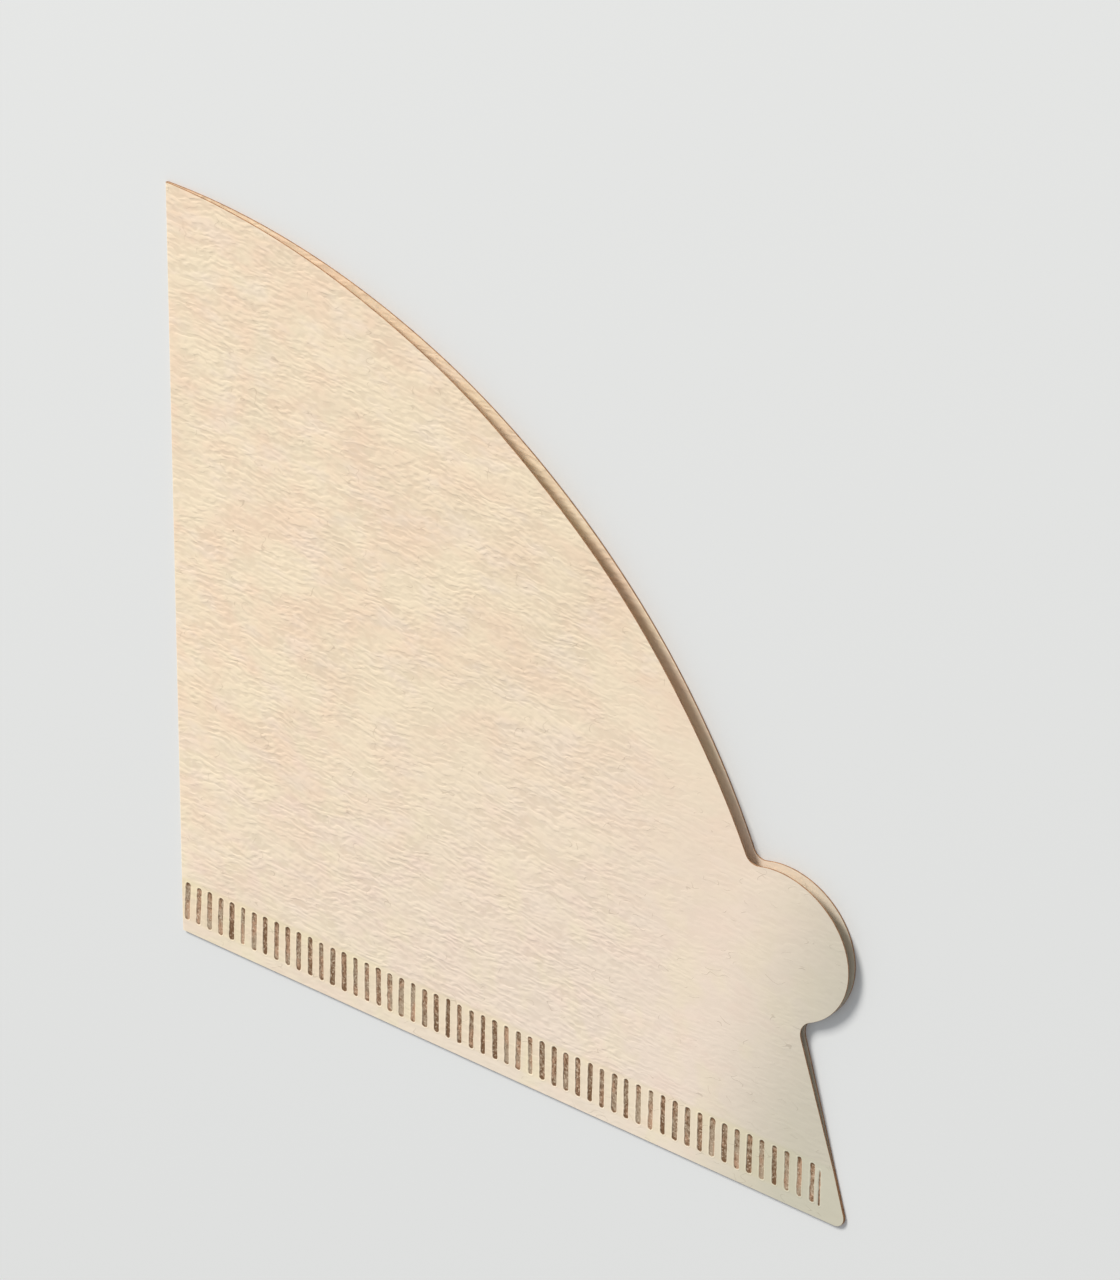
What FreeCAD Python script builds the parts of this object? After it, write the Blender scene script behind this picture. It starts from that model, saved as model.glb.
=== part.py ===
# Paper coffee filter, folded flat, as it lies on a table.
# One sheet of crepe paper is folded in two along its left edge and crimped
# shut along its front edge. Opened, it is a 60 degree cone, whose tip lies
# where the fold meets the inner line of the crimped band. The rim is a quarter
# circle about that tip, with a rounded pull tab and a short tail beside it.
# The sheet is built with its square corner at the origin, X along the crimped
# edge, Y along the fold and Z up. At the end it is moved so that the origin is
# under the middle of its bounding box.
import FreeCAD, Part
import math
import os

import Sketcher

# Driving dimensions, in millimetres and degrees

SIZES = [
    ("cone_slant", 116.0, "tip of the cone to the rim, along the paper"),
    ("seam_width", 9.3, "width of the crimped band beside the cone"),
    ("paper_thickness", 0.2, "one layer of paper"),
    ("layer_gap", 0.1, "space between the layers at the fold and the crimp"),
    ("mouth_rise", 2.4, "how far the upper layer springs up at the rim"),
    ("tab_radius", 12.1, "round nose of the pull tab"),
    ("tab_offset", 0.9, "centre of the tab's nose outside the rim circle"),
    ("tab_angle", 16.9, "centre of the tab's nose above the seam line, degrees"),
    ("root_radius", 1.9, "hollow where the rim runs into the tab"),
    ("notch_radius", 2.9, "hollow where the tab runs into the tail"),
    ("tail_lean", 16.2, "tail's edge from square to the crimped edge, degrees"),
    ("tail_corner_radius", 1.7, "rounded corner at the end of the crimped edge"),
    ("slot_pitch", 2.209, "one crimp slot to the next"),
    ("slot_width", 0.95, "crimp slot, across"),
    ("slot_depth", 0.1, "crimp slot, pressed into each face"),
    ("slot_corner_share", 0.6, "corner cut off a slot, share of its half width"),
    ("slot_edge_margin", 2.2, "crimped edge to the slots"),
    ("slot_line_margin", 0.4, "slots to the inner line of the crimped band"),
    ("first_slot", 1.2, "fold to the first slot's centre"),
    ("last_slot_margin", 3.4, "least distance of a slot's centre to the tail"),
    ("slit_width", 0.26, "half-pressed slot that ends the row, across"),
    ("slit_distance", 1.3, "last full slot's centre to the slit's centre"),
]

doc = FreeCAD.newDocument("coffee_filter")
sheet = doc.addObject("Spreadsheet::Sheet", "sizes")
for row, (alias, value, meaning) in enumerate(SIZES, start=1):
    sheet.set(f"A{row}", meaning)
    sheet.set(f"B{row}", str(value))
    sheet.setAlias(f"B{row}", alias)
doc.recompute()

# Sizes that follow from the sheet, as numbers and as expressions on its cells

slant = sheet.cone_slant
seam = sheet.seam_width
thickness = 2 * sheet.paper_thickness + sheet.layer_gap
fold_length = seam + slant
far_side = 2 * slant

THICKNESS = "(2 * sizes.paper_thickness + sizes.layer_gap)"
FOLD_AXIS = f"{THICKNESS} / 2"
FOLD_LENGTH = "(sizes.seam_width + sizes.cone_slant)"
FAR_SIDE = "2 * sizes.cone_slant"
RISE_ANGLE = "atan(sizes.mouth_rise / sizes.cone_slant)"
AXIS_DIP = f"atan((cos({RISE_ANGLE}) - sqrt(0.5)) / sin({RISE_ANGLE}))"

START, END, CENTRE = range(1, 4)
ORIGIN_POINT = (-1, 1)


def vector(x, y, z=0.0):
    return FreeCAD.Vector(x, y, z)


def origin_feature(body, role):
    """One of the body's own origin planes or axes."""
    return next(item for item in body.Origin.OriginFeatures if item.Role == role)


def new_sketch(body, name, plane):
    """Sketch attached to one of the body's own origin planes."""
    sketch = body.newObject("Sketcher::SketchObject", name)
    sketch.AttachmentSupport = [(origin_feature(body, plane), "")]
    sketch.MapMode = "FlatFace"
    sketch.Visibility = False
    return sketch


def dimension(sketch, name, expression, *constraint):
    """Named dimension of a sketch, bound to the sheet."""
    index = sketch.addConstraint(Sketcher.Constraint(*constraint))
    sketch.renameConstraint(index, name)
    sketch.setExpression(f"Constraints.{name}", expression)


def add_pad(body, sketch, length, backwards=False):
    """Pad of a sketch, with its length bound to the sheet."""
    feature = body.newObject("PartDesign::Pad", f"{body.Name}_pad")
    feature.Profile = sketch
    feature.Reversed = backwards
    feature.setExpression("Length", length)


def combine(kind, name, base, tool):
    """Boolean of two objects."""
    feature = doc.addObject(kind, name)
    feature.Base = base
    feature.Tool = tool
    return feature


def unit(vec):
    return vector(vec.x, vec.y).normalize()


def polar(angle):
    return vector(math.cos(angle), math.sin(angle))


def arc_between(centre, radius, start, end):
    """Arc about centre, counter-clockwise from start to end."""
    circle = Part.Circle(centre, vector(0, 0, 1), radius)
    return Part.ArcOfCircle(circle, circle.parameter(start), circle.parameter(end))


# Outline of the folded sheet, seen from above


def hollow_between(centre_a, radius_a, centre_b, radius_b):
    """Point at radius_a from centre_a and radius_b from centre_b, left of a to b."""
    across = centre_b - centre_a
    along = (radius_a**2 - radius_b**2 + across.Length**2) / (2 * across.Length)
    side = math.sqrt(radius_a**2 - along**2)
    direction = unit(across)
    return centre_a + direction * along + vector(-direction.y, direction.x) * side


rim_centre = vector(0, seam)
rim_start = vector(0, fold_length)
nose_radius = sheet.tab_radius
nose_centre = rim_centre + polar(math.radians(sheet.tab_angle)) * (slant + sheet.tab_offset)

# The rim rolls into the tab's round nose through a small hollow
root_radius = sheet.root_radius
root_centre = hollow_between(
    rim_centre, slant + root_radius, nose_centre, nose_radius + root_radius
)
rim_end = rim_centre + unit(root_centre - rim_centre) * slant
nose_start = nose_centre + unit(root_centre - nose_centre) * nose_radius

# The crimped edge reaches as far as the nose, and its end is rounded
lean = math.radians(sheet.tail_lean)
corner_radius = sheet.tail_corner_radius
corner_centre = vector(nose_centre.x + nose_radius - corner_radius, corner_radius)
tail_end = corner_centre + polar(lean) * corner_radius
seam_end = corner_centre - vector(0, corner_radius)

# The tail is a straight edge that leans outwards, up to the hollow under the nose
notch_radius = sheet.notch_radius
up_tail = polar(math.pi / 2 + lean)
end_offset = tail_end + polar(lean) * notch_radius - nose_centre
offset_along = end_offset.dot(up_tail)
offset_excess = end_offset.dot(end_offset) - (nose_radius + notch_radius) ** 2
tail_length = -offset_along - math.sqrt(offset_along**2 - offset_excess)
tail_top = tail_end + up_tail * tail_length
notch_centre = tail_top + polar(lean) * notch_radius
nose_end = nose_centre + unit(notch_centre - nose_centre) * nose_radius

NOSE_DISTANCE = "(sizes.cone_slant + sizes.tab_offset)"
NOSE_ACROSS = f"{NOSE_DISTANCE} * cos(sizes.tab_angle * 1deg)"
NOSE_UP = f"sizes.seam_width + {NOSE_DISTANCE} * sin(sizes.tab_angle * 1deg)"
CORNER_ACROSS = f"{NOSE_ACROSS} + sizes.tab_radius - sizes.tail_corner_radius"

outline = doc.addObject("PartDesign::Body", "outline")
plan = new_sketch(outline, "outline_sketch", "XY_Plane")
FOLD, RIM, ROOT, NOSE, NOTCH, TAIL, CORNER, SEAM = range(8)
plan.addGeometry(
    [
        Part.LineSegment(rim_start, vector(0, 0)),
        arc_between(rim_centre, slant, rim_end, rim_start),
        arc_between(root_centre, root_radius, rim_end, nose_start),
        arc_between(nose_centre, nose_radius, nose_end, nose_start),
        arc_between(notch_centre, notch_radius, nose_end, tail_top),
        Part.LineSegment(tail_end, tail_top),
        arc_between(corner_centre, corner_radius, seam_end, tail_end),
        Part.LineSegment(vector(0, 0), seam_end),
    ]
)
plan.addConstraint(
    [
        Sketcher.Constraint("Coincident", FOLD, END, *ORIGIN_POINT),
        Sketcher.Constraint("Coincident", SEAM, START, *ORIGIN_POINT),
        Sketcher.Constraint("Vertical", FOLD),
        Sketcher.Constraint("Horizontal", SEAM),
        Sketcher.Constraint("Coincident", FOLD, START, RIM, END),
        Sketcher.Constraint("PointOnObject", RIM, CENTRE, FOLD),
        Sketcher.Constraint("Tangent", RIM, START, ROOT, START),
        Sketcher.Constraint("Tangent", ROOT, END, NOSE, END),
        Sketcher.Constraint("Tangent", NOSE, START, NOTCH, START),
        Sketcher.Constraint("Tangent", NOTCH, END, TAIL, END),
        Sketcher.Constraint("Tangent", TAIL, START, CORNER, END),
        Sketcher.Constraint("Tangent", CORNER, START, SEAM, END),
    ]
)
for name, arc, cell in (
    ("rim_radius", RIM, "cone_slant"),
    ("root_radius", ROOT, "root_radius"),
    ("nose_radius", NOSE, "tab_radius"),
    ("notch_radius", NOTCH, "notch_radius"),
    ("corner_radius", CORNER, "tail_corner_radius"),
):
    dimension(plan, name, f"sizes.{cell}", "Radius", arc, getattr(sheet, cell))
for name, rule, direction, arc, value in (
    ("seam_line", "sizes.seam_width", "DistanceY", RIM, seam),
    ("nose_across", NOSE_ACROSS, "DistanceX", NOSE, nose_centre.x),
    ("nose_up", NOSE_UP, "DistanceY", NOSE, nose_centre.y),
    ("corner_across", CORNER_ACROSS, "DistanceX", CORNER, corner_centre.x),
):
    dimension(plan, name, rule, direction, *ORIGIN_POINT, arc, CENTRE, value)
TAIL_ANGLE = "90deg + sizes.tail_lean * 1deg"
dimension(plan, "tail_angle", TAIL_ANGLE, "Angle", TAIL, math.pi / 2 + lean)
add_pad(outline, plan, f"{THICKNESS} + 2 * sizes.mouth_rise")

# Flat layers, joined by the round fold, and the thin space between them


def rounded_slab(name, low, low_rule, high, high_rule, start_y, length_rule):
    """Slab along Y between two heights, half-round on its fold side."""
    body = doc.addObject("PartDesign::Body", name)
    sketch = new_sketch(body, f"{name}_sketch", "XZ_Plane")
    sketch.setExpression("AttachmentOffset.Base.z", f"-{start_y}")
    fold_axis = thickness / 2
    low_edge = vector(fold_axis, low)
    high_edge = vector(fold_axis, high)
    sketch.addGeometry(
        [
            arc_between(vector(fold_axis, fold_axis), (high - low) / 2, high_edge, low_edge),
            Part.LineSegment(low_edge, vector(far_side, low)),
            Part.LineSegment(vector(far_side, low), vector(far_side, high)),
            Part.LineSegment(vector(far_side, high), high_edge),
        ]
    )
    bend, underside, end, topside = range(4)
    sketch.addConstraint(
        [
            Sketcher.Constraint("Tangent", bend, END, underside, START),
            Sketcher.Constraint("Coincident", underside, END, end, START),
            Sketcher.Constraint("Coincident", end, END, topside, START),
            Sketcher.Constraint("Tangent", topside, END, bend, START),
            Sketcher.Constraint("Horizontal", underside),
            Sketcher.Constraint("Vertical", end),
        ]
    )
    bend_rule = f"({high_rule} - {low_rule}) / 2"
    dimension(sketch, "bend_radius", bend_rule, "Radius", bend, (high - low) / 2)
    for direction in ("DistanceX", "DistanceY"):
        dimension(
            sketch, f"bend_{direction}", FOLD_AXIS,
            direction, *ORIGIN_POINT, bend, CENTRE, fold_axis,
        )
    dimension(
        sketch, "far_side", FAR_SIDE, "DistanceX", *ORIGIN_POINT, end, START, far_side
    )
    add_pad(body, sketch, length_rule, backwards=True)
    return body


GAP_LOW = "sizes.paper_thickness"
GAP_HIGH = "(sizes.paper_thickness + sizes.layer_gap)"
flat_layers = rounded_slab("flat_layers", 0, "0", thickness, THICKNESS, "0", FOLD_LENGTH)
flat_gap = rounded_slab(
    "flat_gap",
    sheet.paper_thickness, GAP_LOW,
    sheet.paper_thickness + sheet.layer_gap, GAP_HIGH,
    "sizes.seam_width", FAR_SIDE,
)

# Upper layer's spring: it is bent as part of one wide cone about the tip,
# level along the fold and the seam line and highest halfway between them

rise_angle = math.atan(sheet.mouth_rise / slant)
axis_dip = math.atan((math.cos(rise_angle) - math.sqrt(0.5)) / math.sin(rise_angle))
axis_turn = FreeCAD.Rotation(vector(-1, 1), 90 + math.degrees(axis_dip))


def place(item, height_rule):
    """Corner or apex over the tip, inside the fold, at a height of its own."""
    item.setExpression("Placement.Base.x", FOLD_AXIS)
    item.setExpression("Placement.Base.y", "sizes.seam_width")
    item.setExpression("Placement.Base.z", height_rule)


def space_under_spring(name, low_rule, surface_rule):
    """Solid under the bent surface, between the fold and the seam line."""
    cone = doc.addObject("Part::Cone", f"{name}_cone")
    cone.Radius1 = 0
    cone.setExpression("Height", f"{FAR_SIDE} * cos({RISE_ANGLE} + {AXIS_DIP})")
    cone.setExpression("Radius2", f"{FAR_SIDE} * sin({RISE_ANGLE} + {AXIS_DIP})")
    cone.Placement = FreeCAD.Placement(vector(0, 0), axis_turn)
    place(cone, surface_rule)
    quarter = doc.addObject("Part::Box", f"{name}_quarter")
    for side in ("Length", "Width", "Height"):
        quarter.setExpression(side, FAR_SIDE)
    place(quarter, low_rule)
    return combine("Part::Common", name, cone, quarter)


upper_spring = space_under_spring("upper_spring", "0", THICKNESS)
gap_spring = space_under_spring("gap_spring", GAP_LOW, GAP_HIGH)

# Folded sheet: the outline, as high as the layers stand, less the pocket

layer_heights = combine("Part::Fuse", "layer_heights", flat_layers, upper_spring)
closed_sheet = combine("Part::Common", "closed_sheet", outline, layer_heights)
pocket_space = combine("Part::Fuse", "pocket_space", flat_gap, gap_spring)
plain_sheet = combine("Part::Cut", "plain_sheet", closed_sheet, pocket_space)

# Crimp: a row of slots pressed into both faces of the seam, and a slit to end it


def pressed_slot(body, face, name, width_cell, centre_x, centre_rule):
    """Slot with cut corners, pressed into the upper or the lower face."""
    half = getattr(sheet, width_cell) / 2
    cut = half * sheet.slot_corner_share
    low = sheet.slot_edge_margin
    high = seam - sheet.slot_line_margin
    corners = [
        vector(centre_x + half - cut, low),
        vector(centre_x + half, low + cut),
        vector(centre_x + half, high - cut),
        vector(centre_x + half - cut, high),
        vector(centre_x - half + cut, high),
        vector(centre_x - half, high - cut),
        vector(centre_x - half, low + cut),
        vector(centre_x - half + cut, low),
    ]
    sketch = new_sketch(body, f"{name}_sketch", "XY_Plane")
    if face == "upper":
        sketch.setExpression("AttachmentOffset.Base.z", THICKNESS)
    low_right, right, high_right, top, high_left, left, low_left, bottom = range(8)
    for edge in range(8):
        following = (edge + 1) % 8
        sketch.addGeometry(Part.LineSegment(corners[edge], corners[following]))
    for edge in range(8):
        following = (edge + 1) % 8
        sketch.addConstraint(Sketcher.Constraint("Coincident", edge, END, following, START))
    sketch.addConstraint(
        [
            Sketcher.Constraint("Vertical", right),
            Sketcher.Constraint("Vertical", left),
            Sketcher.Constraint("Horizontal", top),
            Sketcher.Constraint("Horizontal", bottom),
            Sketcher.Constraint("Angle", low_right, math.radians(45)),
        ]
    )
    for edge, other in ((low_right, high_right), (high_right, high_left), (high_left, low_left)):
        sketch.addConstraint(Sketcher.Constraint("Perpendicular", edge, other))
        sketch.addConstraint(Sketcher.Constraint("Equal", edge, other))
    half_rule = f"sizes.{width_cell} / 2"
    cut_rule = f"{half_rule} * sizes.slot_corner_share"
    high_rule = "sizes.seam_width - sizes.slot_line_margin"
    for label, rule, direction, edge, value in (
        ("right", f"{centre_rule} + {half_rule}", "DistanceX", right, centre_x + half),
        ("left", f"{centre_rule} - {half_rule}", "DistanceX", left, centre_x - half),
        ("low", "sizes.slot_edge_margin", "DistanceY", bottom, low),
        ("high", high_rule, "DistanceY", top, high),
        ("cut", f"sizes.slot_edge_margin + {cut_rule}", "DistanceY", right, low + cut),
    ):
        dimension(sketch, label, rule, direction, *ORIGIN_POINT, edge, START, value)
    pocket = body.newObject("PartDesign::Pocket", name)
    pocket.Profile = sketch
    pocket.Reversed = face == "lower"
    pocket.setExpression("Length", "sizes.slot_depth")
    doc.recompute()
    return pocket


def slot_row(body, slot, name, count):
    """The slot again and again along the crimped edge."""
    row = body.newObject("PartDesign::LinearPattern", name)
    row.Originals = [slot]
    row.Direction = (origin_feature(body, "X_Axis"), [""])
    row.setExpression("Length", f"{count - 1} * sizes.slot_pitch")
    row.Occurrences = count
    body.Tip = row
    doc.recompute()


slot_top = seam - sheet.slot_line_margin
tail_at_slots = tail_end.x - (slot_top - tail_end.y) * math.tan(lean)
slot_run = tail_at_slots - sheet.last_slot_margin - sheet.first_slot
slot_count = math.floor(slot_run / sheet.slot_pitch) + 1
slit_x = sheet.first_slot + (slot_count - 1) * sheet.slot_pitch + sheet.slit_distance
SLIT_X = f"sizes.first_slot + {slot_count - 1} * sizes.slot_pitch + sizes.slit_distance"

coffee_filter = doc.addObject("PartDesign::Body", "coffee_filter")
coffee_filter.Label = "coffee_filter"
coffee_filter.BaseFeature = plain_sheet
doc.recompute()
volumes = [coffee_filter.Shape.Volume]
for face in ("upper", "lower"):
    slot = pressed_slot(
        coffee_filter, face, f"{face}_slot",
        "slot_width", sheet.first_slot, "sizes.first_slot",
    )
    slot_row(coffee_filter, slot, f"{face}_slot_row", slot_count)
    volumes.append(coffee_filter.Shape.Volume)
    slit = pressed_slot(
        coffee_filter, face, f"{face}_slit", "slit_width", slit_x, SLIT_X
    )
    coffee_filter.Tip = slit
    doc.recompute()
    volumes.append(coffee_filter.Shape.Volume)

# The bounding box ends at the tab's nose and at the top of the fold
reach = nose_centre.x + nose_radius
coffee_filter.Placement.Base = vector(-reach / 2, -fold_length / 2)
doc.recompute()

# Checks before anything is written

for item in doc.Objects:
    if "Invalid" in item.State or "Error" in item.State:
        raise RuntimeError(f"{item.Name} failed: {item.State}")
shape = coffee_filter.Shape
if shape.isNull() or not shape.isValid() or len(shape.Solids) != 1:
    raise RuntimeError("the filter isn't one valid solid")
if any(after >= before for before, after in zip(volumes, volumes[1:])):
    raise RuntimeError("a crimp slot cut nothing")
bounds = shape.optimalBoundingBox()
print(f"{slot_count} slots, volume {shape.Volume:.1f} mm3, size {bounds.XLength:.2f} x "
      f"{bounds.YLength:.2f} x {bounds.ZLength:.2f} mm")

os.makedirs("parts", exist_ok=True)
shape.exportStep(f"parts/{coffee_filter.Label}.step")
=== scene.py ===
import math

import bmesh
import bpy
import numpy as np
from mathutils import Matrix, Vector


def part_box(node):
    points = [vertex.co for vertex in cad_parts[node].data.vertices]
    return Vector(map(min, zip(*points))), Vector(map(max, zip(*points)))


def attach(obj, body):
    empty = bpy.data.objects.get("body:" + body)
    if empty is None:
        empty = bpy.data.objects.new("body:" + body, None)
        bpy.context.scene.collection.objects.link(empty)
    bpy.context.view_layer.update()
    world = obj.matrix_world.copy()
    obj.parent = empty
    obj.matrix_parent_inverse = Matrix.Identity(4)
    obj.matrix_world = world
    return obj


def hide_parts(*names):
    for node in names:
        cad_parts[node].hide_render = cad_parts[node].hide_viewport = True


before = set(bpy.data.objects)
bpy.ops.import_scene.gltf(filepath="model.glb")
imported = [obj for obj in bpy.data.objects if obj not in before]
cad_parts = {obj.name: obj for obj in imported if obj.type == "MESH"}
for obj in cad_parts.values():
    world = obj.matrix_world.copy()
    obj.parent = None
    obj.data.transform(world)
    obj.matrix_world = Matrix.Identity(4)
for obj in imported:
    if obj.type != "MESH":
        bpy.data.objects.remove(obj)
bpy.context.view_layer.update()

# Folded sheet
# One piece of unbleached crepe paper, folded in two along its left edge and cut
# through both layers to a quarter circle with a pull tab and a tail. The lower
# layer lies on the table, and the upper one springs up a little at the rim.

MM = 0.001
cone_slant = 116.0 * MM
seam_width = 9.3 * MM
paper_thickness = 0.2 * MM
layer_gap = 0.1 * MM
mouth_rise = 2.4 * MM
tab_radius = 12.1 * MM
tab_offset = 0.9 * MM
tab_angle = math.radians(16.9)
root_radius = 1.9 * MM
notch_radius = 2.9 * MM
tail_lean = math.radians(16.2)
corner_radius = 1.7 * MM
edge_round = 0.04 * MM

folded_thickness = 2 * paper_thickness + layer_gap
fold_radius = folded_thickness / 2
gap_radius = layer_gap / 2
sheet_low, sheet_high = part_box("coffee_filter")
square_corner = np.array([sheet_low.x, sheet_low.y])


def polar(angle):
    """Unit vector: (cosine, sine) of the angle."""
    return np.array([math.cos(angle), math.sin(angle)])


def unit(vector):
    """Vector divided by its own length."""
    return vector / np.hypot(*vector)


# Centres and meeting points of the outline's arcs, from the square corner. The
# root's arc touches the rim and the nose, so its centre is where two circles
# about theirs cross, each wider by root_radius.
rim_centre = np.array([0.0, seam_width])
nose_centre = rim_centre + polar(tab_angle) * (cone_slant + tab_offset)

across = nose_centre - rim_centre
rim_reach = cone_slant + root_radius
nose_reach = tab_radius + root_radius
along = (rim_reach**2 - nose_reach**2 + across @ across) / (2 * np.hypot(*across))
sideways = math.sqrt(rim_reach**2 - along**2)
to_nose_centre = unit(across)
left_of_it = np.array([-to_nose_centre[1], to_nose_centre[0]])
root_centre = rim_centre + to_nose_centre * along + left_of_it * sideways

# The tail's straight edge leans from its round corner up to the notch's arc,
# which touches the nose: the nearer of the two places along it that fit.
corner_centre = np.array([nose_centre[0] + tab_radius - corner_radius, corner_radius])
tail_end = corner_centre + polar(tail_lean) * corner_radius
up_tail = polar(math.pi / 2 + tail_lean)
end_offset = tail_end + polar(tail_lean) * notch_radius - nose_centre
offset_along = end_offset @ up_tail
offset_excess = end_offset @ end_offset - (tab_radius + notch_radius) ** 2
tail_top = tail_end + up_tail * (-offset_along - math.sqrt(offset_along**2 - offset_excess))
notch_centre = tail_top + polar(tail_lean) * notch_radius


def angle_of(vector):
    """Angle from the x axis, whose tangent is y over x."""
    return math.atan2(vector[1], vector[0])


def straight_run(start, end, normal, steps):
    """Points start + (end - start) t, t even from 0 to just under 1, with one normal."""
    t = np.arange(steps)[:, None] / steps
    return start + (end - start) * t, np.tile(normal, (steps, 1))


def round_run(centre, radius, start, end, steps, hollow=False):
    """Points centre + radius (cos a, sin a), a even from start to just under end. It turns
    left with its normals outwards, or, if hollow, right with its normals inwards."""
    turn = (end - start) % (2 * math.pi) - (2 * math.pi if hollow else 0)
    angle = start + turn * np.arange(steps) / steps
    rays = np.stack([np.cos(angle), np.sin(angle)], axis=1)
    return centre + rays * radius, -rays if hollow else rays


def hollow_run(centre, radius, start, end):
    """Small hollow arc, on the far side of its centre from the two angles."""
    return round_run(centre, radius, start + math.pi, end + math.pi, small_arc_steps, True)


def tail_x(y):
    """Tail's straight edge: its foot less the height times the tangent of its lean."""
    return tail_end[0] - (y - tail_end[1]) * math.tan(tail_lean)


tail_steps, nose_steps, rim_steps, small_arc_steps = 12, 56, 120, 8


def outline_runs():
    """Edge of both layers from the seam line to the fold: tail, notch, nose, root, rim."""
    seam_point = np.array([tail_x(seam_width), seam_width])
    to_nose = angle_of(notch_centre - nose_centre)
    to_root = angle_of(root_centre - nose_centre)
    rim_begin = angle_of(root_centre - rim_centre)
    rim_finish = math.acos(fold_radius / cone_slant)
    runs = [
        straight_run(seam_point, tail_top, polar(tail_lean), tail_steps),
        hollow_run(notch_centre, notch_radius, tail_lean, to_nose),
        round_run(nose_centre, tab_radius, to_nose, to_root, nose_steps),
        hollow_run(root_centre, root_radius, to_root, rim_begin),
        round_run(rim_centre, cone_slant, rim_begin, rim_finish, rim_steps),
    ]
    last = polar(rim_finish)
    runs.append(((rim_centre + last * cone_slant)[None], np.array([[0.0, 1.0]])))
    return np.concatenate([run[0] for run in runs]), np.concatenate([run[1] for run in runs])


outer_edge, edge_normals = outline_runs()
inner_edge = outer_edge - edge_normals * edge_round

# Its first point stays on the seam line, where the band's last row meets it
inner_edge[0] = [outer_edge[0, 0] - edge_round / math.cos(tail_lean), seam_width]


def spring(x, y):
    """Rise of the upper layer, bent as one wide cone about the tip: (dx + dy - distance from
    the tip), which is zero along the fold and the seam line, scaled to mouth_rise between."""
    dx = np.maximum(x - fold_radius, 0)
    dy = np.maximum(y - seam_width, 0)
    return (dx + dy - np.hypot(dx, dy)) * mouth_rise / (cone_slant * (math.sqrt(2) - 1))


def ripple(x, y, waves):
    """Half plus half the mean of some sines, each along its own direction: 0 to 1."""
    total = sum(np.sin((x * ax + y * ay) / length + turn) for ax, ay, length, turn in waves)
    return 0.5 + 0.5 * total / len(waves)


# Each wave: its direction's x and y, its length and its start. The layers are
# free by the share that the spring has in itself plus free_rise.
upper_waves = ((0.9, -0.4, 5.1 * MM, 0.4), (0.7, -0.8, 8.3 * MM, 2.1), (0.3, 0.9, 13.0 * MM, 1.3))
lower_waves = ((0.8, -0.6, 6.4 * MM, 1.7), (0.5, -0.9, 9.7 * MM, 0.2), (0.6, 0.7, 15.0 * MM, 2.9))
upper_dent = 0.45 * MM
lower_lift = 0.35 * MM
free_rise = 1.2 * MM


def looseness(x, y):
    """Spring over spring plus free_rise: zero where the layers are held together, and
    two thirds where the rim is most open."""
    free = spring(x, y)
    return free / (free + free_rise)


def upper_top(x, y):
    """Folded thickness plus the spring, less shallow dents where the layer is free."""
    dents = upper_dent * ripple(x, y, upper_waves) * looseness(x, y)
    return folded_thickness + spring(x, y) - dents


def lower_bottom(x, y):
    """The table, plus a small lift where the layer is free, by looseness squared."""
    return lower_lift * ripple(x, y, lower_waves) * looseness(x, y) ** 2


# Crimped band
# Both layers are pressed together between toothed rollers along the cut edge,
# which leaves a row of narrow slots, none quite like the next, and a thin last one.

slot_pitch = 2.209 * MM
slot_width = 0.95 * MM
slot_depth = 0.1 * MM
slot_low = 2.2 * MM
slot_high = seam_width - 0.4 * MM
first_slot = 1.2 * MM
last_slot_margin = 3.4 * MM
slit_width = 0.26 * MM
slit_distance = 1.3 * MM
slit_shortness = 0.6 * MM
slot_soft_edge = 0.05 * MM

slot_run = tail_x(slot_high) - last_slot_margin - first_slot
slot_count = math.floor(slot_run / slot_pitch) + 1
slot_number = np.arange(slot_count)

# Each slot is a little off in place, width, lean and length, those near the fold
# lean most, and the rollers scorch some more than others
chance = np.random.default_rng(12)
slot_x = first_slot + slot_number * slot_pitch + chance.uniform(-0.03, 0.03, slot_count) * MM
slot_half = slot_width / 2 * chance.uniform(0.76, 1.0, slot_count)
slot_lean = np.radians(3.4 * np.exp(-slot_number / 10) + chance.uniform(-0.8, 0.8, slot_count))
slot_foot = slot_low + chance.uniform(-0.1, 0.1, slot_count) * MM
slot_head = slot_high + chance.uniform(-0.12, 0.1, slot_count) * MM
slot_tone = chance.uniform(0.0, 1.0, slot_count)
slit_x = first_slot + (slot_count - 1) * slot_pitch + slit_distance
slot_middle = (slot_low + slot_high) / 2


def stadium(dx, y, foot, head, half):
    """Distance to a slot with round ends: to its centre line, less its half width."""
    past = np.maximum(np.maximum(foot + half - y, y - head + half), 0)
    return np.hypot(dx, past) - half


def nearest_slot(x):
    """Number of the nearest slot: distance from the first over the pitch, rounded."""
    number = np.rint((x - first_slot) / slot_pitch).astype(int)
    return np.clip(number, 0, slot_count - 1)


def slot_distance(x, y):
    """Distance to the nearest pressed slot, leaning by its tangent, or to the slit,
    whichever is less, and negative inside."""
    near = nearest_slot(x)
    shifted = x - slot_x[near] - (y - slot_middle) * np.tan(slot_lean[near])
    slots = stadium(shifted, y, slot_foot[near], slot_head[near], slot_half[near])
    slit = stadium(x - slit_x, y, slot_low, slot_high - slit_shortness, slit_width / 2)
    return np.minimum(slots, slit)


def pressed(x, y):
    """Depth of the crimp: slot_depth times the smooth step 3 s^2 - 2 s^3 across the edge."""
    inside = np.clip(0.5 - slot_distance(x, y) / (2 * slot_soft_edge), 0, 1)
    return slot_depth * inside**2 * (3 - 2 * inside)


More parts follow.
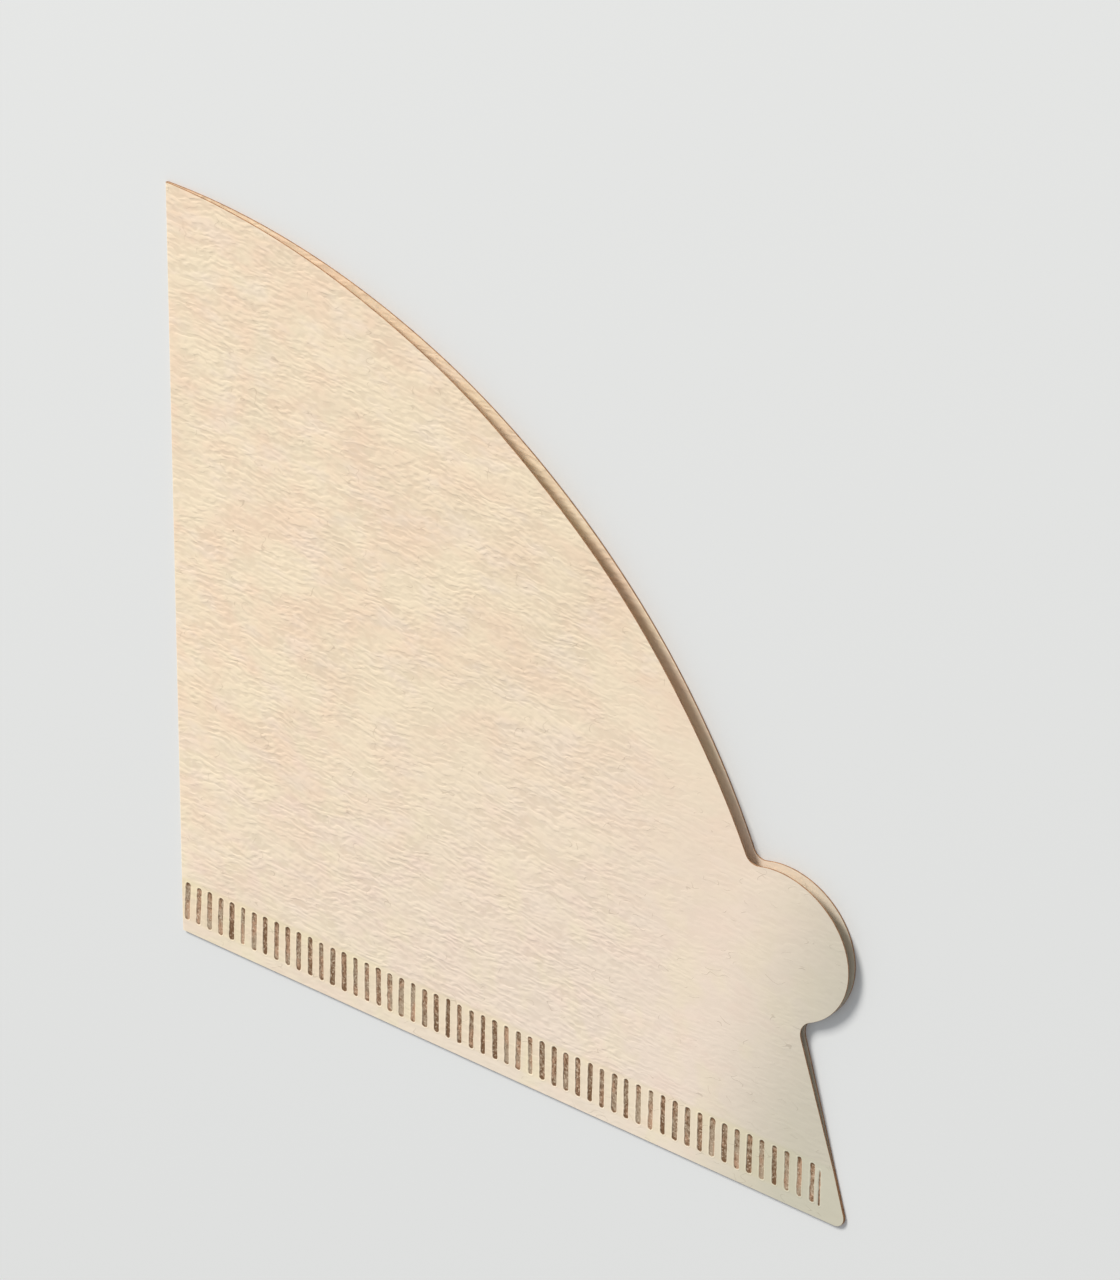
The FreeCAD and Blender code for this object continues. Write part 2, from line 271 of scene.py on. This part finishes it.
# Rows and columns of the band's grid stand close where a slot's edge passes:
# distances from a slot's end, and from the middle line of a slot and of the slit
end_rows = np.array([-0.16, -0.04, 0.06, 0.16, 0.27, 0.4, 0.55]) * MM
slot_columns = np.array([-1.1045, -0.62, -0.5, -0.42, -0.3, 0, 0.3, 0.42, 0.5, 0.62]) * MM
slit_columns = np.array([-0.19, -0.13, -0.07, 0, 0.07, 0.13, 0.3, 0.7]) * MM
middle_reach = 1.2 * MM
middle_rows = 5
corner_rows = 7


def band_rows():
    """Heights of the band's rows: corner_radius less a cosine round the tail's corner, then
    end_rows up from the slots' feet, even ones, and end_rows down from their heads."""
    turn = np.radians(np.linspace(0, 90, corner_rows))
    corner = corner_radius - (corner_radius - edge_round) * np.cos(turn)
    middle = np.linspace(slot_low + middle_reach, slot_high - middle_reach, middle_rows)
    return np.concatenate([corner, slot_low + end_rows, middle, slot_high - end_rows[::-1]])


def band_columns():
    """Straight columns: slot_columns about each slot, from the fold on, then slit_columns."""
    slots = (first_slot + slot_number[:, None] * slot_pitch + slot_columns).ravel()
    slots[0] = fold_radius
    return np.concatenate([slots, slit_x + slit_columns])


def band_end(y):
    """Inner edge of the band's end: the corner's centre plus the root of its radius squared
    less the height below it squared, then the leaning tail less edge_round over its cosine."""
    inner = corner_radius - edge_round
    round_part = corner_centre[0] + np.sqrt(np.maximum(inner**2 - (corner_radius - y) ** 2, 0))
    straight = tail_x(y) - edge_round / math.cos(tail_lean)
    return np.where(y < tail_end[1], round_part, straight)


row_y = band_rows()
column_x = band_columns()
end_x = band_end(row_y)
thirds = np.array([1, 2, 3]) / 3
end_part = column_x[-1] + (end_x - column_x[-1])[:, None] * thirds
band_x = np.concatenate([np.tile(column_x, (len(row_y), 1)), end_part], axis=1)
band_y = np.tile(row_y[:, None], (1, band_x.shape[1]))

# The faces above the band are a fan: rings about the tip of the cone, one to each
# slot and to each half of the slit, and rays from the tip to the points of the edge
slot_rings = column_x[: -len(slit_columns) : len(slot_columns)]
slit_rings = column_x[-len(slit_columns) :: len(slit_columns) // 2]
ring_x = np.unique(np.concatenate([slot_rings, slit_rings, [inner_edge[0, 0]]]))
ring_share = (ring_x - ring_x[0]) / (ring_x[-1] - ring_x[0])
tip = np.array([fold_radius, seam_width])
fan = tip + (inner_edge - tip)[None] * ring_share[:, None, None]
fan_x, fan_y = fan[..., 0], fan[..., 1]

# Edge of the sheet in one line: along the crimped edge, up the tail, round the rim.
# Up to held_points of it the two layers are joined.
on_corner = row_y < tail_end[1]
end_normal = np.where(
    on_corner[:, None],
    np.stack([end_x - corner_centre[0], row_y - corner_radius], axis=1),
    polar(tail_lean),
)
end_normal = end_normal / np.hypot(end_normal[:, 0], end_normal[:, 1])[:, None]
front_inner = np.stack([band_x[0, :-1], band_y[0, :-1]], axis=1)
side_inner = np.stack([end_x, row_y], axis=1)
rim_inner = np.concatenate([front_inner, side_inner, inner_edge])
rim_outer = np.concatenate(
    [front_inner - [0, edge_round], side_inner + end_normal * edge_round, outer_edge]
)
held_points = len(front_inner) + len(side_inner) + 1

points, quads, tris, polygons = [], [], [], []
quad_cut, tri_cut = [], []


def add_points(x, y, z):
    """Add an array of points, and give back an array of their numbers."""
    start = sum(len(part) for part in points)
    x, y, z = np.broadcast_arrays(x, y, z)
    points.append(np.stack([x.ravel(), y.ravel(), z.ravel()], axis=1))
    return np.arange(start, start + x.size).reshape(x.shape)


def join_grid(numbers, cut=False):
    """Four-sided faces between neighbouring rows and columns of a grid of points."""
    faces = np.stack(
        [numbers[:-1, :-1], numbers[:-1, 1:], numbers[1:, 1:], numbers[1:, :-1]], axis=-1
    ).reshape(-1, 4)
    quads.append(faces)
    quad_cut.append(np.full(len(faces), cut))


def join_unequal(row, row_x, ring, ring_places):
    """Triangles between a fine row and a coarse ring along the same line: each step of the
    row takes the ring's nearest point, and each step of the ring where that changes."""
    middle = (row_x[:-1] + row_x[1:]) / 2
    nearest = np.rint(np.interp(middle, ring_places, np.arange(len(ring_places)))).astype(int)
    tris.append(np.stack([row[:-1], row[1:], ring[nearest]], axis=1))
    switch = np.searchsorted(nearest, np.arange(len(ring) - 1), side="right")
    tris.append(np.stack([ring[:-1], ring[1:], row[switch]], axis=1))
    tri_cut.append(np.zeros(len(row) + len(ring) - 2, bool))


def layer_face(band_z, fan_z):
    """One face of the sheet: the crimped band, the fan, and triangles where they meet."""
    band = add_points(band_x, band_y, band_z)
    rays = add_points(fan_x, fan_y, fan_z)
    join_grid(band)
    join_grid(rays)
    join_unequal(band[-1], band_x[-1], rays[:, 0], ring_x)


band_press = pressed(band_x, band_y)
fan_top = upper_top(fan_x, fan_y)
fan_bottom = lower_bottom(fan_x, fan_y)
layer_face(folded_thickness - band_press, fan_top)
layer_face(band_press, fan_bottom)
ceiling = add_points(fan_x, fan_y, fan_top - paper_thickness)
floor_side = add_points(fan_x, fan_y, fan_bottom + paper_thickness)
join_grid(ceiling)
join_grid(floor_side)
join_grid(np.stack([ceiling[:, 0], floor_side[:, 0]]))

# Cut edges: each layer's edge is a narrow wall with slightly rounded corners
rim_top = upper_top(rim_inner[:, 0], rim_inner[:, 1])
rim_bottom = lower_bottom(rim_inner[:, 0], rim_inner[:, 1])


def cut_edge(low, high):
    """Wall from high to low: its two ends stand in, and its middle out, by edge_round."""
    x = np.stack([rim_inner[:, 0], rim_outer[:, 0], rim_outer[:, 0], rim_inner[:, 0]])
    y = np.stack([rim_inner[:, 1], rim_outer[:, 1], rim_outer[:, 1], rim_inner[:, 1]])
    z = np.stack([high, high - edge_round, low + edge_round, low])
    wall = add_points(x, y, z)
    join_grid(wall, cut=True)
    return wall


upper_wall = cut_edge(rim_top - paper_thickness, rim_top)
lower_wall = cut_edge(rim_bottom, rim_bottom + paper_thickness)
join_grid(np.stack([upper_wall[-1, :held_points], lower_wall[0, :held_points]]), cut=True)

# Fold: half a round from the upper face to the lower one, and a small one inside
fold_steps = 9
fold_turn = np.radians(np.linspace(90, 270, fold_steps))[:, None]


def fold_bend(radius, y, top, bottom):
    """Half a round about the fold's axis: radius times cosine along x, and half the height
    from bottom to top times sine along z."""
    middle = (top + bottom) / 2
    x = fold_radius + radius * np.cos(fold_turn) + 0 * y
    z = middle + (top - bottom) / 2 * np.sin(fold_turn)
    bend = add_points(x, y + 0 * z, z)
    join_grid(bend)
    return bend


fold_y = np.concatenate([row_y, fan_y[:, -1]])
outer_bend = fold_bend(
    fold_radius, fold_y, upper_top(fold_radius, fold_y), lower_bottom(fold_radius, fold_y)
)
inner_bend = fold_bend(
    gap_radius, fan_y[:, -1], fan_top[:, -1] - paper_thickness, fan_bottom[:, -1] + paper_thickness
)

# Flat ends: the pocket's at the seam line, the sheet's at the crimped edge, and the
# fold's at the rim. The last two are cut.
polygons.append(list(inner_bend[:, 0]))
polygons.append(
    list(outer_bend[:, 0]) + list(lower_wall[::-1, 0][1:]) + list(upper_wall[::-1, 0][:-1])
)
polygons.append(
    list(outer_bend[:, -1]) + list(lower_wall[::-1, -1][1:]) + list(inner_bend[::-1, -1][1:])
    + list(upper_wall[::-1, -1][1:-1])
)

all_points = np.concatenate(points)
all_points[:, :2] += square_corner
faces = np.concatenate(quads).tolist() + np.concatenate(tris).tolist()
faces += [[int(number) for number in polygon] for polygon in polygons]
cut_faces = np.concatenate(quad_cut + tri_cut + [np.array([False, True, True])])

weld_distance = 0.002 * MM
sliver_length = 0.0005 * MM
sharp_angle = math.radians(40)

mesh = bpy.data.meshes.new("folded_filter")
mesh.from_pydata(all_points.tolist(), [], faces)
mesh.polygons.foreach_set("material_index", cut_faces.astype(np.int32))
shell = bmesh.new()
shell.from_mesh(mesh)
bmesh.ops.remove_doubles(shell, verts=shell.verts, dist=weld_distance)
bmesh.ops.dissolve_degenerate(shell, edges=shell.edges, dist=sliver_length)
bmesh.ops.recalc_face_normals(shell, faces=shell.faces)
shell.to_mesh(mesh)
shell.free()
mesh.shade_smooth()
mesh.set_sharp_from_angle(angle=sharp_angle)

# Each point keeps its distance to a slot, in millimetres, and how scorched that one is
final_points = np.empty(len(mesh.vertices) * 3)
mesh.vertices.foreach_get("co", final_points)
local_x, local_y = (final_points.reshape(-1, 3)[:, :2] - square_corner).T
gap_to_slot = mesh.attributes.new("slot_distance", "FLOAT", "POINT")
gap_to_slot.data.foreach_set("value", slot_distance(local_x, local_y) / MM)
tone = mesh.attributes.new("slot_tone", "FLOAT", "POINT")
tone.data.foreach_set("value", slot_tone[nearest_slot(local_x)])

folded_filter = bpy.data.objects.new("folded_filter", mesh)
bpy.context.scene.collection.objects.link(folded_filter)
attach(folded_filter, "root")
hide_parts("coffee_filter")

# Paper
# Unbleached wood pulp, creped while wet: a cream face with short wavy ridges
# along the seam, soft blotches, a few dark specks and loose fibres. The rollers
# flatten the ridges on the band and scorch the slots.

paper_gloss = 0.25


class Value:
    """A socket of a finish. Arithmetic on it adds Math nodes."""

    def __init__(self, finish, socket):
        self.finish = finish
        self.socket = socket

    def maths(self, operation, first, second):
        """Math node on two numbers or links."""
        return self.finish.node("ShaderNodeMath", {"operation": operation}, {0: first, 1: second})

    def __add__(self, other):
        return self.maths("ADD", self, other)

    def __radd__(self, other):
        return self.maths("ADD", other, self)

    def __sub__(self, other):
        return self.maths("SUBTRACT", self, other)

    def __rsub__(self, other):
        return self.maths("SUBTRACT", other, self)

    def __mul__(self, other):
        return self.maths("MULTIPLY", self, other)

    def __rmul__(self, other):
        return self.maths("MULTIPLY", other, self)

    def __truediv__(self, other):
        return self.maths("DIVIDE", self, other)

    def __abs__(self):
        return self.maths("ABSOLUTE", self, 0.0)

    def sibling(self, name):
        """Another output of the node that this value comes from."""
        return Value(self.finish, self.socket.node.outputs[name])


class Finish:
    """A material and its nodes."""

    def __init__(self, name):
        self.material = bpy.data.materials.new(name)
        self.material.use_nodes = True
        self.tree = self.material.node_tree

    def feed(self, made, inputs):
        """Link or set each named socket of a node."""
        for name, value in inputs.items():
            if isinstance(value, Value):
                self.tree.links.new(value.socket, made.inputs[name])
            else:
                made.inputs[name].default_value = value

    def node(self, kind, settings, inputs, output=0):
        """A node of any kind: settings first, then a value or a link for each socket."""
        made = self.tree.nodes.new(kind)
        for name, value in settings.items():
            setattr(made, name, value)
        self.feed(made, inputs)
        return Value(self, made.outputs[output])

    def place(self):
        """Place on the object, in metres."""
        return self.node("ShaderNodeTexCoord", {}, {}).sibling("Object")

    def noise(self, place, size_x, size_y, size_z, detail=2.0, roughness=0.5):
        """Soft noise about 0.5, with grains of the sizes given along each axis."""
        sizes = {0: place, 1: (size_x, size_y, size_z)}
        grains = self.node("ShaderNodeVectorMath", {"operation": "DIVIDE"}, sizes)
        inputs = {"Vector": grains, "Scale": 1.0, "Detail": detail, "Roughness": roughness}
        return self.node("ShaderNodeTexNoise", {}, inputs)

    def step(self, value, low, high):
        """Smooth step: 0 up to low, 1 from high on."""
        inputs = {"Value": value, "From Min": low, "From Max": high}
        return self.node("ShaderNodeMapRange", {"interpolation_type": "SMOOTHSTEP"}, inputs)

    def blend(self, amount, first, second):
        """First colour where amount is 0, second where it is 1."""
        inputs = {0: amount, 6: first, 7: second}
        return self.node("ShaderNodeMix", {"data_type": "RGBA"}, inputs, output=2)

    def scale(self, vector, amount):
        """Colour or vector times a number."""
        inputs = {0: vector, "Scale": amount}
        return self.node("ShaderNodeVectorMath", {"operation": "SCALE"}, inputs)

    def tint(self, amount, colour, factors):
        """Colour times the factors where amount is 1, and unchanged where it is 0."""
        inputs = {0: colour, 1: factors}
        product = self.node("ShaderNodeVectorMath", {"operation": "MULTIPLY"}, inputs)
        return self.blend(amount, colour, product)

    def attribute(self, name):
        """A number kept on the mesh's points."""
        return self.node("ShaderNodeAttribute", {"attribute_name": name}, {}).sibling("Fac")

    def shade(self, inputs):
        """Link or set sockets of the material's own shader."""
        self.feed(self.tree.nodes["Principled BSDF"], inputs)

    def surface(self, colour, roughness, height, depth):
        """Rough surface with a relief, height times depth in metres."""
        relief = self.node("ShaderNodeBump", {}, {"Height": height, "Distance": depth})
        self.shade(
            {
                "Base Color": colour,
                "Roughness": roughness,
                "Specular IOR Level": paper_gloss,
                "Normal": relief,
            }
        )


# Red, green, blue and alpha
cream = (0.874, 0.733, 0.541, 1.0)
pink_cream = (0.862, 0.673, 0.500, 1.0)
green_cream = (0.810, 0.698, 0.515, 1.0)
# Painted shade: darker, greyer paper towards the tab
tab_painted_shade = (0.590, 0.550, 0.445, 1.0)
# Painted shade in the grooves between the crests
groove_painted_shade = (0.520, 0.400, 0.270, 1.0)
speck_brown = (0.24, 0.17, 0.11, 1.0)
lilac_cream = (0.858, 0.724, 0.606, 1.0)
straw_cream = (0.872, 0.762, 0.545, 1.0)
rose_cream = (0.868, 0.690, 0.575, 1.0)
slot_dark = (0.176, 0.094, 0.045, 1.0)
slot_warm = (0.505, 0.318, 0.205, 1.0)
slot_grey = (0.425, 0.325, 0.225, 1.0)
slot_fleck = (0.740, 0.600, 0.440, 1.0)

# Factors on red, green and blue
band_tint = (0.966, 0.990, 0.972)
rib_tint = (1.0, 0.985, 0.925)

seam_line = sheet_low.y + seam_width
slot_feet = sheet_low.y + slot_low
slots_centre = square_corner[1] + slot_middle
half_slot = (slot_high - slot_low) / 2
ridge_rise = 0.08
rise_length = 40 * MM
drift_reach = 3.0 * MM
wobble_reach = 0.30 * MM
relief_depth = 0.046 * MM

paper = Finish("unbleached_paper")
place = paper.place()
split = paper.node("ShaderNodeSeparateXYZ", {}, {"Vector": place})
place_x, place_y, place_z = split, split.sibling("Y"), split.sibling("Z")

# The ridges run across the sheet, rise a little from the fold on, and waver
drift = paper.noise(place, 9 * MM, 7 * MM, 9 * MM) - 0.5
wobble = paper.noise(place, 1.1 * MM, 0.9 * MM, 1.1 * MM, detail=1.0) - 0.5
from_fold = place_x - sheet_low.x
ridge_y = place_y - ridge_rise * from_fold / (1.0 + from_fold / rise_length)
ridge_y = ridge_y + drift * drift_reach + wobble * wobble_reach
ridge_place = paper.node("ShaderNodeCombineXYZ", {}, {"X": place_x, "Y": ridge_y, "Z": place_z})
long_ridges = paper.noise(ridge_place, 4.4 * MM, 0.76 * MM, 4.4 * MM, detail=0.4)
short_ridges = paper.noise(ridge_place, 1.2 * MM, 0.60 * MM, 1.2 * MM, detail=0.4)
ridges = long_ridges * 0.5 + short_ridges * 0.5
crests = paper.step(ridges, 0.38, 0.64)

# They are liveliest near the fold, smoother where hands and rollers pressed them
handled = paper.step(place_x, 14 * MM, 40 * MM)
rolled_flat = 1.0 - paper.step(place_y, seam_line - 0.3 * MM, seam_line + 0.7 * MM)
patches = paper.step(paper.noise(place, 8 * MM, 5 * MM, 8 * MM, detail=1.0), 0.34, 0.62)
lively = (0.6 + 0.4 * patches) * (1.0 - 0.72 * handled) * (1.0 - 0.6 * rolled_flat)
# Grooves between the crests, darkened with painted shade among the tints below
grooves = (1.0 - paper.step(ridges, 0.35, 0.44)) * lively
grain = paper.noise(place, 0.16 * MM, 0.16 * MM, 0.16 * MM, detail=1.0)
pulp = paper.noise(ridge_place, 0.60 * MM, 0.13 * MM, 0.60 * MM)

# Tints over the cream, one on the other: where each shows, its strength, its colour. The
# last two are painted shade: darker, greyer paper towards the tab, and darker grooves.
blotch = paper.noise(place, 15 * MM, 9 * MM, 15 * MM, detail=3.0, roughness=0.6)
green = paper.noise(place, 7 * MM, 4.5 * MM, 7 * MM)
haze = paper.noise(place, 8 * MM, 4 * MM, 8 * MM, detail=3.0, roughness=0.6)
straw = paper.noise(place, 6 * MM, 8 * MM, 6 * MM)
rose = paper.noise(place, 7 * MM, 5 * MM, 9 * MM)
near_seam = 1.0 - paper.step(place_y, -35 * MM, 5 * MM)
# Where painted shade darkens and greys the paper towards the tab
shade_towards_tab = paper.step(place_x - place_y * 0.3, 46 * MM, 72 * MM)
tints = (
    (paper.step(blotch, 0.38, 0.62), 1.0, pink_cream),
    (paper.step(green, 0.46, 0.70), 0.50, green_cream),
    (paper.step(haze, 0.48, 0.70), 0.40, lilac_cream),
    (paper.step(place_x * 0.6 - place_y, -20 * MM, 75 * MM), 1.0, lilac_cream),
    (paper.step(straw, 0.47, 0.66) * near_seam, 0.36, straw_cream),
    (paper.step(rose, 0.50, 0.68) * near_seam, 0.45, rose_cream),
    (shade_towards_tab, 0.90, tab_painted_shade),
    (grooves, 0.12, groove_painted_shade),
)
body = cream
for where, strength, colour in tints:
    body = paper.blend(where * strength, body, colour)

# Painted highlight: crests are a shade lighter, as if lit. Thick places are a shade lighter
# too, and painted shade leaves the seam's side lighter than the rim's
cloud = paper.noise(place, 3.8 * MM, 2.4 * MM, 3.8 * MM)
light = (crests - 0.5) * lively * 0.064 + (cloud - 0.5) * 0.06 + (pulp - 0.5) * 0.02
# Painted shade: the face dims slowly from the seam towards the rim
light = light - place_y * (0.020 / sheet_high.y)
body = paper.scale(body, 1.0 + light)

# The rollers leave the band yellower than the creped face, most between the slots
ribs = rolled_flat * paper.step(place_y, slot_feet - 0.5 * MM, slot_feet + 0.5 * MM)
among_slots = ribs * (1.0 - paper.step(place_x, 50 * MM, 58 * MM))
body = paper.tint(rolled_flat, body, band_tint)
body = paper.tint(among_slots, body, rib_tint)

# Specks of bark, a few of those that a 7 mm grid would give, and loose fibres that
# show as fine dark hairs where a noise crosses its middle value
speck_place = paper.scale(place, 1 / (7 * MM))
speck = paper.node("ShaderNodeTexVoronoi", {}, {"Vector": speck_place, "Scale": 1.0})
chosen = paper.node("ShaderNodeSeparateColor", {}, {"Color": speck.sibling("Color")})
specks = (1.0 - paper.step(speck, 0.014, 0.032)) * paper.step(chosen, 0.84, 0.86)
body = paper.blend(specks * 0.8, body, speck_brown)
curls = paper.noise(ridge_place, 2.6 * MM, 1.5 * MM, 2.6 * MM, detail=0.0)
scatter = paper.noise(place, 2.7 * MM, 2.1 * MM, 2.7 * MM, detail=0.0)
fibres = (1.0 - paper.step(abs(curls - 0.5), 0.005, 0.014)) * paper.step(scatter, 0.63, 0.69)
body = paper.blend(fibres * 0.22, body, speck_brown)

# Pressed slots: the rollers scorch and matt the fibres, unevenly, and raise a lip round
# each, which a painted highlight makes paler. The distance to a slot is in millimetres.
ragged = paper.noise(place, 0.60 * MM, 1.10 * MM, 0.60 * MM, roughness=0.6) - 0.5
distance = paper.attribute("slot_distance") + ragged * 0.30
in_slot = 1.0 - paper.step(distance, -0.05, 0.08)
lip = (1.0 - paper.step(distance, 0.10, 0.34)) * (1.0 - in_slot)
mottle = paper.noise(place, 0.50 * MM, 0.75 * MM, 0.50 * MM, detail=3.0, roughness=0.7)
spots = paper.noise(place, 0.34 * MM, 0.38 * MM, 0.34 * MM, detail=1.0)
flecks = paper.step(spots, 0.58, 0.68)
along_slot = (place_y - slots_centre) / half_slot
dark_end = paper.step(abs(along_slot), 0.80, 0.98)
tone = paper.attribute("slot_tone") - 0.5
uneven = mottle + tone * 0.22 - dark_end * 0.20 - along_slot * tone * 0.20
hue = paper.noise(place, 1.7 * MM, 3.4 * MM, 1.7 * MM, detail=1.0)
slot_pale = paper.blend(paper.step(hue, 0.40, 0.60), slot_warm, slot_grey)
slot_colour = paper.blend(paper.step(uneven, 0.33, 0.66), slot_dark, slot_pale)
slot_colour = paper.blend(flecks * (1.0 - dark_end) * 0.60, slot_colour, slot_fleck)
# Painted highlight: the lip round each slot is 8 per cent lighter
face_colour = paper.blend(in_slot, paper.scale(body, 1.0 + lip * 0.08), slot_colour)

relief = (crests + short_ridges * 0.6) * lively + lip * 0.6
relief = relief + pulp * 0.07 + grain * 0.08 + fibres * 0.3
paper.surface(face_colour, 0.90 - in_slot * 0.12, relief, relief_depth)

# Cut edges
# The die cuts through both layers at once and leaves each edge raw: compressed
# brown fibre in thin streaks, with pale flecks where fibre ends stand out.

edge_brown = (0.440, 0.235, 0.120, 1.0)
edge_dark = (0.240, 0.110, 0.050, 1.0)
edge_fleck = (0.760, 0.560, 0.370, 1.0)
edge_relief = 0.05 * MM

edge = Finish("cut_paper_edge")
edge_place = edge.place()
streaks = edge.noise(edge_place, 1.1 * MM, 1.1 * MM, 0.12 * MM, detail=3.0, roughness=0.6)
fibre_ends = edge.noise(edge_place, 0.16 * MM, 0.16 * MM, 0.10 * MM, roughness=0.7)
edge_colour = edge.blend(edge.step(streaks, 0.35, 0.65), edge_dark, edge_brown)
edge_colour = edge.blend(edge.step(fibre_ends, 0.56, 0.72) * 0.8, edge_colour, edge_fleck)
edge.surface(edge_colour, 0.88, fibre_ends, edge_relief)

# Slot 0 is the paper's face, and slot 1 the cut edges
mesh.materials.append(paper.material)
mesh.materials.append(edge.material)

# Table and light
# A plain pale table under the sheet. One broad soft lamp stands beyond the rim, and
# an even pale sky fills the shadows.

half_table = 2.0
table_colour = (0.765, 0.772, 0.768, 1.0)
sky_colour = (0.94, 0.965, 1.0, 1.0)
sky_strength = 0.46
lamp_direction = Vector((-0.42, 0.78, 0.58)).normalized()
lamp_distance = 4.0
lamp_size = 1.15
lamp_watts = 165.0
lamp_colour = (1.0, 0.98, 0.94)

table_mesh = bpy.data.meshes.new("table")
signs = ((-1, -1), (1, -1), (1, 1), (-1, 1))
table_corners = [(x * half_table, y * half_table, 0) for x, y in signs]
table_mesh.from_pydata(table_corners, [], [(0, 1, 2, 3)])
table = bpy.data.objects.new("table", table_mesh)
bpy.context.scene.collection.objects.link(table)
pale = Finish("pale_table")
pale.shade({"Base Color": table_colour, "Roughness": 0.9, "Specular IOR Level": 0.2})
table_mesh.materials.append(pale.material)

sky = bpy.data.worlds.new("pale_sky")
sky.use_nodes = True
background = sky.node_tree.nodes["Background"]
background.inputs["Color"].default_value = sky_colour
background.inputs["Strength"].default_value = sky_strength
bpy.context.scene.world = sky

lamp_data = bpy.data.lights.new("key_lamp", "AREA")
lamp_data.size = lamp_size
lamp_data.energy = lamp_watts
lamp_data.color = lamp_colour
lamp = bpy.data.objects.new("key_lamp", lamp_data)
lamp.location = lamp_direction * lamp_distance
lamp.rotation_euler = lamp_direction.to_track_quat("Z", "Y").to_euler()
bpy.context.scene.collection.objects.link(lamp)

# Camera
# It looks down on the lying sheet from where the photograph looks at its face. Its
# place and aim are measured from the sheet's square corner.

camera_place = np.array([522.2, 494.4, 576.3]) * MM
looks_at = np.array([72.0, 76.8, 0.5]) * MM
picture_up = Vector((-0.31564, 0.86819, -0.38291))
lens_mm = 170.2
sensor_mm = 36.0

camera_data = bpy.data.cameras.new("camera")
camera_data.lens = lens_mm
camera_data.sensor_width = sensor_mm
camera = bpy.data.objects.new("camera", camera_data)
forward = Vector(looks_at - camera_place).normalized()
right = forward.cross(picture_up).normalized()
up = right.cross(forward)
camera_turn = Matrix((right, up, -forward)).transposed().to_4x4()
camera_at = Vector(camera_place + np.append(square_corner, 0.0))
camera.matrix_world = Matrix.Translation(camera_at) @ camera_turn
bpy.context.scene.collection.objects.link(camera)
bpy.context.scene.camera = camera
bpy.context.scene.view_settings.view_transform = "Standard"
